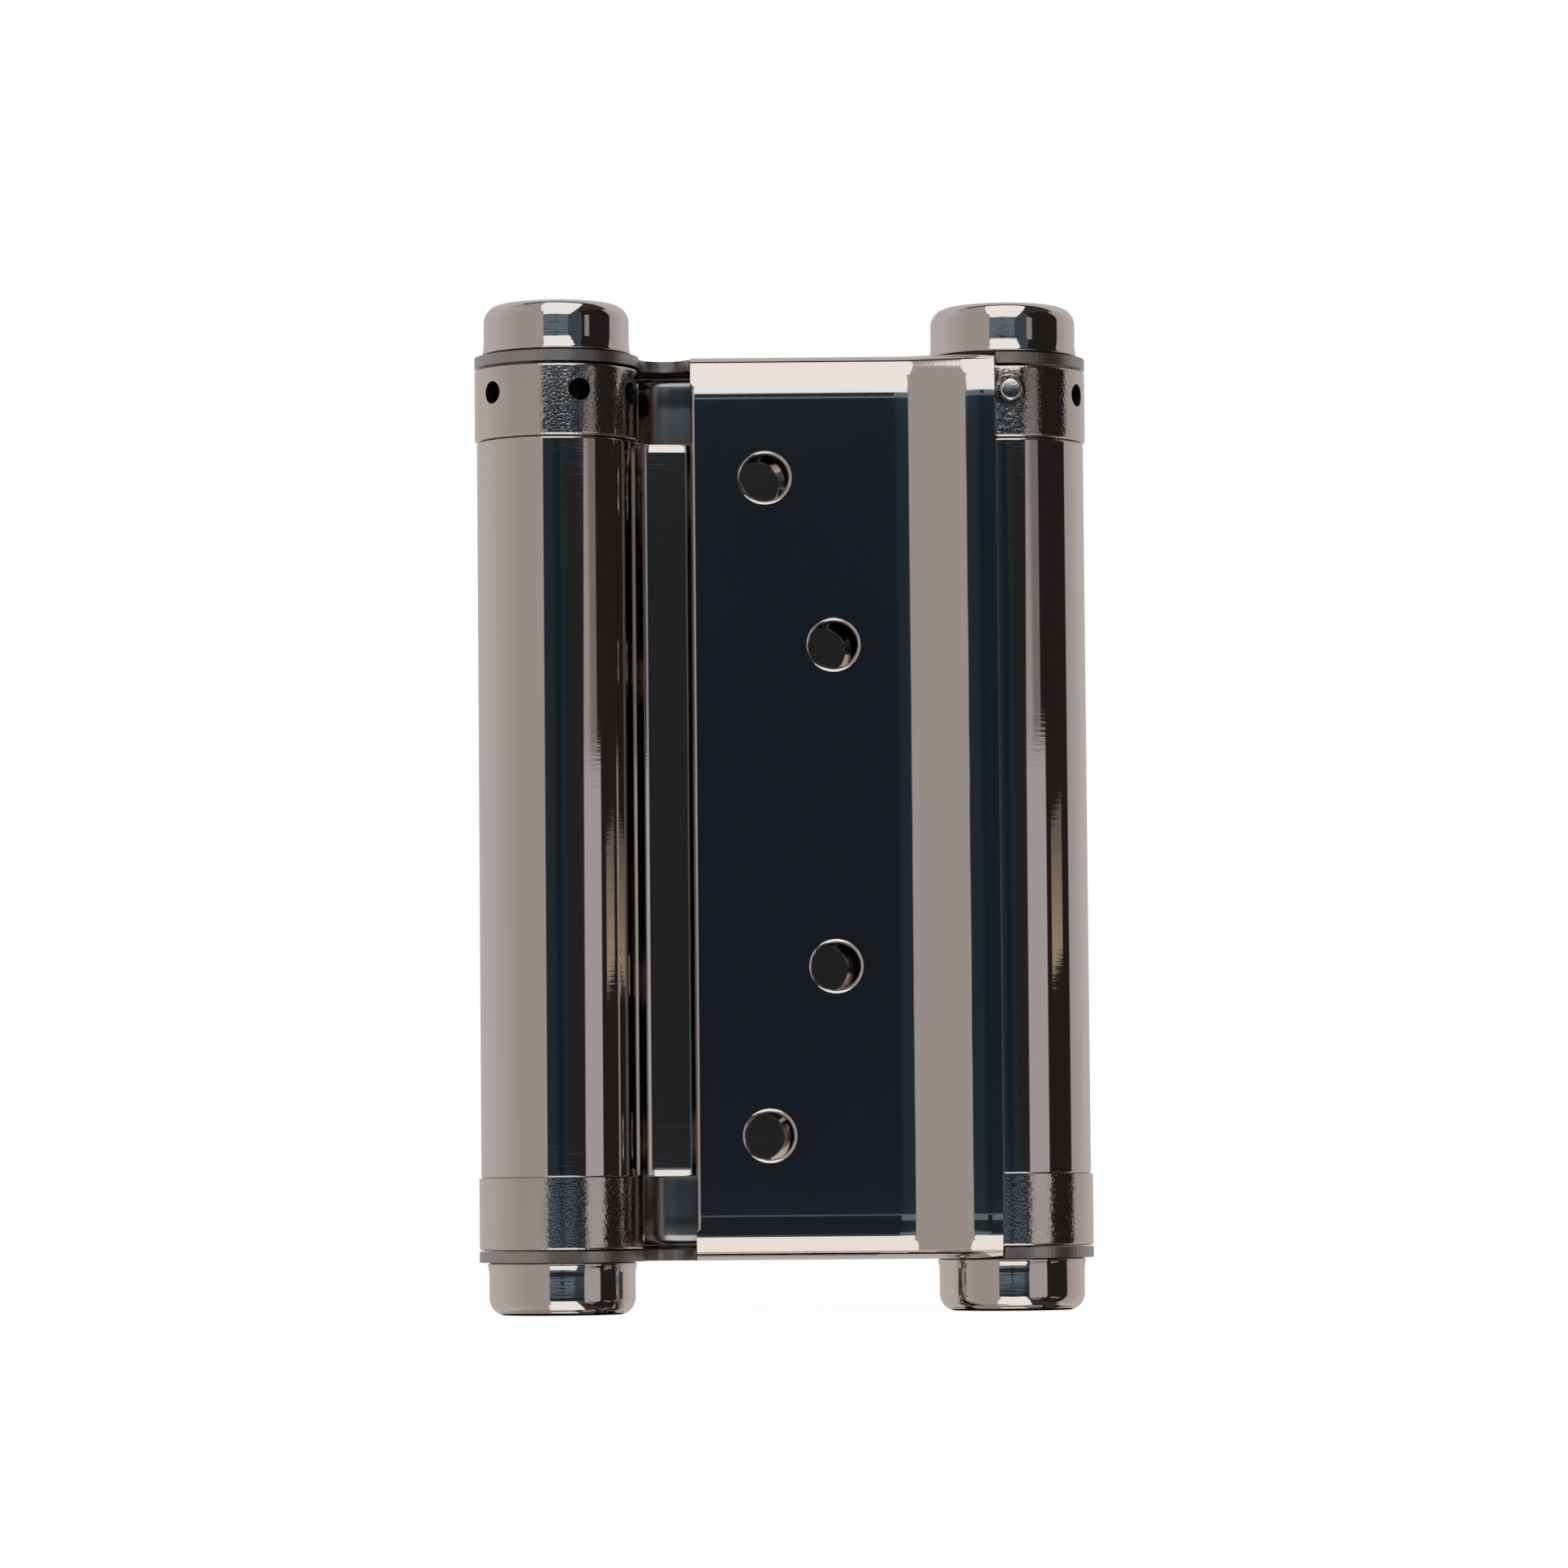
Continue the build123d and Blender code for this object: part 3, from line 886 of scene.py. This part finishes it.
collar_plating = plated("collar_plating", 0.02, 0.036 * MM, (0.72, 0.66, 0.61), (0.82, 0.76, 0.71))
pin_plating = plated("pin_plating", 0.10, 0.02 * MM, (0.78, 0.73, 0.69), (0.84, 0.79, 0.75))
cut_edge = plated("cut_edge", 0.30, 0.05 * MM, (0.40, 0.365, 0.34), (0.56, 0.52, 0.49), 3000, (1, 1, 0.2))
leaf_inside = plated("leaf_inside", 0.15, 0.004 * MM, (0.46, 0.44, 0.43), (0.56, 0.53, 0.51))
# Painted shade: a near black colour for the insides of the holes and the seams under the caps.
hole_inside = plated("hole_inside", 0.45, 0.02 * MM, (0.05, 0.045, 0.04), (0.09, 0.08, 0.07))
print("plated:", collar_plating.name, pin_plating.name)
print("dull:", cut_edge.name, leaf_inside.name, hole_inside.name)

# %% [markdown]
# ## Spindles and springs
#
# Spindles are drawn bar and springs are wire. Both have fine streaks, from a noise that is stretched
# along the upright axis. On a coil that isn't quite the way the wire runs, but the springs hardly
# show, so a plain grey with some roughness is enough.

# %% Hidden steel
DRAWN_LINES = 900
DRAWN_STRETCH = (1, 1, 0.05)
DRAWN_ROUGHNESS = 0.12
DRAWN_DEPTH = 0.004 * MM


def bar_steel(name, colour, roughness):
    """Drawn bar or wire, with streaks along it."""
    finish = Finish(name)
    streak = finish.noise(DRAWN_LINES, 2, DRAWN_STRETCH)
    return finish.metal(colour, roughness + streak * DRAWN_ROUGHNESS, finish.bump(streak, DRAWN_DEPTH))


spindle_steel = bar_steel("spindle_steel", (0.56, 0.56, 0.57, 1), 0.22)
spring_steel = bar_steel("spring_steel", (0.16, 0.16, 0.17, 1), 0.35)
print("steel:", spindle_steel.name, spring_steel.name)

# %% [markdown]
# ## Each piece on its body
#
# The smooth pieces stand for the CAD nodes of the same place and size, and ride on the same bodies.
# Springs and spindles stay as CAD nodes, because they hardly show.

# %% Dress the pieces
def dress(piece, materials, slot, body, *nodes):
    """Give a piece its materials, its body and the CAD node that it stands for. The slot is not used."""
    for index, material in enumerate(materials):
        if index < len(piece.data.materials):
            piece.data.materials[index] = material
        else:
            piece.data.materials.append(material)
    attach(piece, body)
    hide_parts(*nodes)


dress(door_leaf, [leaf_polish, cut_edge, leaf_inside], "polished", "door_side", "door_leaf")
dress(jamb_leaf, [leaf_polish, cut_edge, leaf_inside], "polished", "jamb_side", "jamb_leaf")
dress(link, [link_polish], "polished", "link", "centre_link")
for (side, level), cap in caps.items():
    # The caps' second slot is painted shade in the seam under them.
    dress(cap, [cap_polish, hole_inside], "polished", f"{side}_side", f"{side}_{level}_cap")
turned_pieces = (
    (tension_collar, [collar_plating, hole_inside], "plated_collar", "{}_tension", "{}_tension_collar"),
    (anchor_collar, [collar_plating], "plated_collar", "link", "{}_anchor_collar"),
    (stop_pin, [pin_plating], "pin", "{}_tension", "{}_stop_pin"),
)
for piece, materials, slot, body, node in turned_pieces:
    twin = half_turn_copy(piece, piece.name.replace("door", "jamb"))
    dress(piece, materials, slot, body.format("door"), node.format("door"))
    dress(twin, materials, slot, body.format("jamb"), node.format("jamb"))
for side in barrel_axes:
    for part, material in (("spindle", spindle_steel), ("spring", spring_steel)):
        bare = frame["nodes"][f"{side}_{part}"].data.materials
        bare.clear()
        bare.append(material)
hidden = [name for name, node in frame["nodes"].items() if node.hide_render]
print("CAD nodes replaced:", len(hidden), "of", len(frame["nodes"]))

# %% [markdown]
# ## The room
#
# The photo was taken among pale panels: one at the left that runs from in front to behind, one at the
# right behind, and a bright one overhead. The side that the camera stands on is dark, with one pale
# sheet near at the right. The cards here glow by themselves and can't be seen by the camera, so they
# show only in the metal. Their places were found by following rays from the camera over the metal,
# and then border by border.

# %% Cards
def unseen_sheet(name, corners, material):
    """A flat sheet with the given corners that the camera doesn't see."""
    deselect()
    bpy.ops.mesh.primitive_plane_add(size=1, location=(0, 0, 0))
    plane = bpy.context.object
    plane.name = name
    for vertex, place in zip(plane.data.vertices, corners):
        vertex.co = place
    plane.data.materials.append(material)
    plane.visible_camera = False
    plane.visible_shadow = False
    return plane


def card(name, corners, colour=None, stops=None, axis="X"):
    """A glowing card, in one colour or with stops, each a place on an axis and a colour."""
    finish = Finish(name)
    if stops:
        first, last = stops[0][0], stops[-1][0]
        along = finish.node("ShaderNodeSeparateXYZ", {}, {0: finish.place()}, output=axis)
        share = finish.node("ShaderNodeMapRange", {}, {"Value": along, "From Min": first, "From Max": last})
        shades = [((at - first) / (last - first), shade) for at, shade in stops]
        glow = finish.node("ShaderNodeValToRGB", {"stops": shades}, {0: share})
    else:
        glow = (*colour, 1)
    finish.end(finish.node("ShaderNodeEmission", {}, {"Color": glow, "Strength": 1.0}))
    return unseen_sheet(name, corners, finish.owner)


def wall(name, start, end, low_z, high_z, colour=None, **shades):
    """An upright card between two plan points."""
    corners = [(*start, low_z), (*end, low_z), (*start, high_z), (*end, high_z)]
    return card(name, corners, colour, **shades)


def level_card(name, left, right, front, back, height, colour=None, **shades):
    """A level card."""
    corners = [(left, front, height), (right, front, height), (left, back, height), (right, back, height)]
    return card(name, corners, colour, **shades)


# %% Shades and heights of the room
BOTTOM = -0.6
TOP = 0.9
OVER = TOP + 0.02
WHITE = (1, 1, 1)
PALE = (0.38, 0.355, 0.345)
PALER = (0.52, 0.49, 0.48)
CEILING = (0.52, 0.50, 0.49)
DUSK = (0.128, 0.171, 0.211)
NAVY = (0.051, 0.069, 0.091)
DARK = (0.015, 0.027, 0.036)
DARKER = (0.020, 0.022, 0.024)
CORE = (0.009, 0.0145, 0.020)
WEB_DARK = (0.018, 0.0185, 0.019)
BLACK = (0.016, 0.014, 0.0135)
BROWN = (0.045, 0.032, 0.027)
print("room height", TOP - BOTTOM, "m")

# %% Pale panels at the left, behind and at the right
fade = {"axis": "Y", "stops": [(-0.35, PALE), (0.3, PALER)]}
pale_panels = [
    wall("left_front", (-0.222, -0.6), (-0.6, -0.35), BOTTOM, TOP, **fade),
    wall("left_side", (-0.6, -0.35), (-0.75, 0.2), BOTTOM, TOP, **fade),
    wall("left_back", (-0.75, 0.2), (-0.6, 1.0), BOTTOM, TOP, **fade),
    wall("back", (-0.6, 1.0), (1.0, 1.0), BOTTOM, TOP, PALER),
    wall("right_back", (0.95, 0.1), (1.0, 1.0), BOTTOM, TOP, axis="Y", stops=[(0.1, PALE), (0.9, PALER)]),
]
print("pale panels", len(pale_panels))

# %% Softbox overhead, the dark gap behind it, and the ceiling
BOX_FRONT = (-0.9, 0.235)
BOX_BACK = (0.20, 0.885)
CEILING_FRONT = 0.38
softbox = [(-0.316, *BOX_FRONT), (0.36, *BOX_FRONT), (-0.126, *BOX_BACK), (0.27, *BOX_BACK)]
card("softbox", softbox, WHITE)
level_card("ceiling_gap", -0.4, 0.5, BOX_BACK[0], CEILING_FRONT, TOP, BLACK)
level_card("ceiling_front", -0.8, 1.0, -1.0, CEILING_FRONT, OVER, stops=[(0.2, PALE), (0.3, BROWN)])
level_card("ceiling", -0.8, 1.0, CEILING_FRONT, 1.0, OVER, CEILING)
print("softbox length", round(math.hypot(BOX_BACK[0] - BOX_FRONT[0], BOX_BACK[1] - BOX_FRONT[1]), 2), "m")

# %% Dark side of the room
core = [(-0.13, DARK), (-0.02, CORE), (0.03, CORE), (0.12, DARK)]
shades = [(-0.45, DARK), *core, (0.24, WEB_DARK), (0.9, DARKER)]
dark_cards = [
    wall("dusk_wall", (-0.45, -1.0), (0.9, -1.0), BOTTOM, OVER, stops=[(0.33, DUSK), (0.36, NAVY)]),
    wall("dark_wall", (-0.45, -0.99), (0.9, -0.99), -0.060, 0.169, stops=shades),
    wall("core_above", (-0.04, -0.98), (0.045, -0.98), 0.197, 0.262, CORE),
    wall("core_below", (-0.04, -0.98), (0.045, -0.98), -0.25, -0.074, CORE),
    wall("right_dark", (0.9, -1.0), (0.95, 0.1), BOTTOM, OVER, BLACK),
]
print("dark cards", len(dark_cards))

# %% Pale sheet near at the right, and a small warm card beside it
low = [(0.097, -0.215, -0.4), (0.143, -0.092, -0.4), (0.129, -0.207, 0.020), (0.190, -0.113, 0.020)]
high = [(0.129, -0.207, 0.020), (0.169, -0.128, 0.020), (0.140, -0.200, 0.070), (0.172, -0.130, 0.070)]
high_shades = [(0.145, (0.36, 0.33, 0.33)), (0.155, (0.20, 0.175, 0.17))]
tip_part = [(0.155, -0.175, 0.072), (0.172, -0.140, 0.072), (0.160, -0.170, 0.095), (0.172, -0.145, 0.095)]
warm = [(0.155, -0.066, -0.015), (0.165, -0.02, -0.012), (0.155, -0.066, 0.005), (0.165, -0.02, 0.008)]
warm_shades = [(-0.012, (0.34, 0.28, 0.19)), (0.004, (0.14, 0.12, 0.10))]
near_cards = [
    card("sheet_low", low, (0.41, 0.40, 0.41)),
    card("sheet_high", high, stops=high_shades),
    card("sheet_tip", tip_part, (0.30, 0.27, 0.26)),
    card("warm_thing", warm, stops=warm_shades, axis="Z"),
]
print("near cards", len(near_cards))

# %% [markdown]
# ## Floor and world
#
# The background is pure white for the camera, and for the metal and anything clear that mirrors or
# passes it. For all other rays the floor is white paint, so it still takes the hinge's soft shadow.
# The table in the photo is glossy too: the softbox shows in it, and the metal shows the table. A
# second sheet just above the floor, a mirror that neither the camera nor soft light sees, brings that
# into the caps and the leaf's lower fold.

# %% Floor
FLOOR_FRONT = -0.1
FLOOR_BACK = 6.0
FLOOR_WIDTH = 8
FLOOR_PAINT = (0.9, 0.9, 0.9, 1)
FLOOR_GLOW = 1.05
FLOOR_SHOWN = 0.9


def shown_rays(finish):
    """1 on the rays that show the background: camera, glossy and transmission rays."""
    kinds = ("Is Camera Ray", "Is Glossy Ray", "Is Transmission Ray")
    first, *others = [finish.node("ShaderNodeLightPath", output=kind) for kind in kinds]
    for ray in others:
        first = first.math("MAXIMUM", ray)
    return first


deselect()
bpy.ops.mesh.primitive_plane_add(size=1, location=(0, 0, 0))
floor = bpy.context.object
floor.name = "floor"
floor_middle = (0, (FLOOR_FRONT + FLOOR_BACK) / 2, cad_box[0].z)
floor_size = Matrix.Diagonal((FLOOR_WIDTH, FLOOR_BACK - FLOOR_FRONT, 1, 1))
floor.data.transform(Matrix.Translation(floor_middle) @ floor_size)
white = Finish("floor_white")
paint = white.node("ShaderNodeBsdfDiffuse", {}, {"Color": FLOOR_PAINT})
glow = white.node("ShaderNodeEmission", {}, {"Color": (*WHITE, 1), "Strength": FLOOR_GLOW})
white.end(white.node("ShaderNodeMixShader", {}, {0: shown_rays(white) * FLOOR_SHOWN, 1: paint, 2: glow}))
floor.data.materials.append(white.owner)
print("floor at", round(cad_box[0].z / MM, 2))

# %% Gloss on the floor
GLOSS_LIFT = 0.05 * MM
GLOSS_TINT = (1, 0.98, 0.95, 1)
ground = cad_box[0].z + GLOSS_LIFT
shine = Finish("floor_gloss")
shine.end(shine.node("ShaderNodeBsdfGlossy", {}, {"Color": GLOSS_TINT, "Roughness": 0.0}))
gloss_corners = [(x, y, ground) for y in (FLOOR_FRONT, 1.0) for x in (-0.8, 1.0)]
gloss = unseen_sheet("floor_gloss", gloss_corners, shine.owner)
gloss.visible_diffuse = False
print("gloss sheet at", round(ground / MM, 2))

# %% World
SKY_LIGHT = (0.6, 0.6, 0.6, 1)
sky = Finish("room", bpy.data.worlds)
shown_sky = sky.node("ShaderNodeBackground", {}, {"Color": (*WHITE, 1)})
sky_light = sky.node("ShaderNodeBackground", {}, {"Color": SKY_LIGHT})
pick = sky.node("ShaderNodeMixShader", {}, {0: shown_rays(sky), 1: sky_light, 2: shown_sky})
bpy.context.scene.world = sky.end(pick, "ShaderNodeOutputWorld")
print("world", bpy.context.scene.world.name)

# %% [markdown]
# ## The camera
#
# A long lens, square to the leaves, a little below the middle and looking up by about three degrees.
# Its place and lens were fitted to the barrels' rings in the photo, because their ellipses tell the
# camera's height.

# %% Camera and view
CAMERA_AT = Vector((0, -766.4, -41.6)) * MM
CAMERA_AIM = Vector((0, 0.9983, 0.0577))
CAMERA_ROLL = math.radians(-0.497)
LENS = 158.72
SENSOR = 36

lens = bpy.data.cameras.new("camera")
lens.lens = LENS
lens.sensor_width = SENSOR
camera = bpy.data.objects.new("camera", lens)
bpy.context.scene.collection.objects.link(camera)
turned_by = CAMERA_AIM.to_track_quat("-Z", "Y").to_matrix().to_4x4()
camera.matrix_world = Matrix.Translation(CAMERA_AT) @ turned_by @ Matrix.Rotation(CAMERA_ROLL, 4, "Z")
bpy.context.scene.camera = camera
bpy.context.scene.view_settings.view_transform = "Standard"
print("camera", round(CAMERA_AT.length / MM), "mm from the hinge's middle")

# %% [markdown]
# ## Sizes for the record
#
# The box of the CAD model is printed.

# %% Sizes for the record, and the end
print("CAD box", [tuple(round(v / MM, 2) for v in c) for c in cad_box])
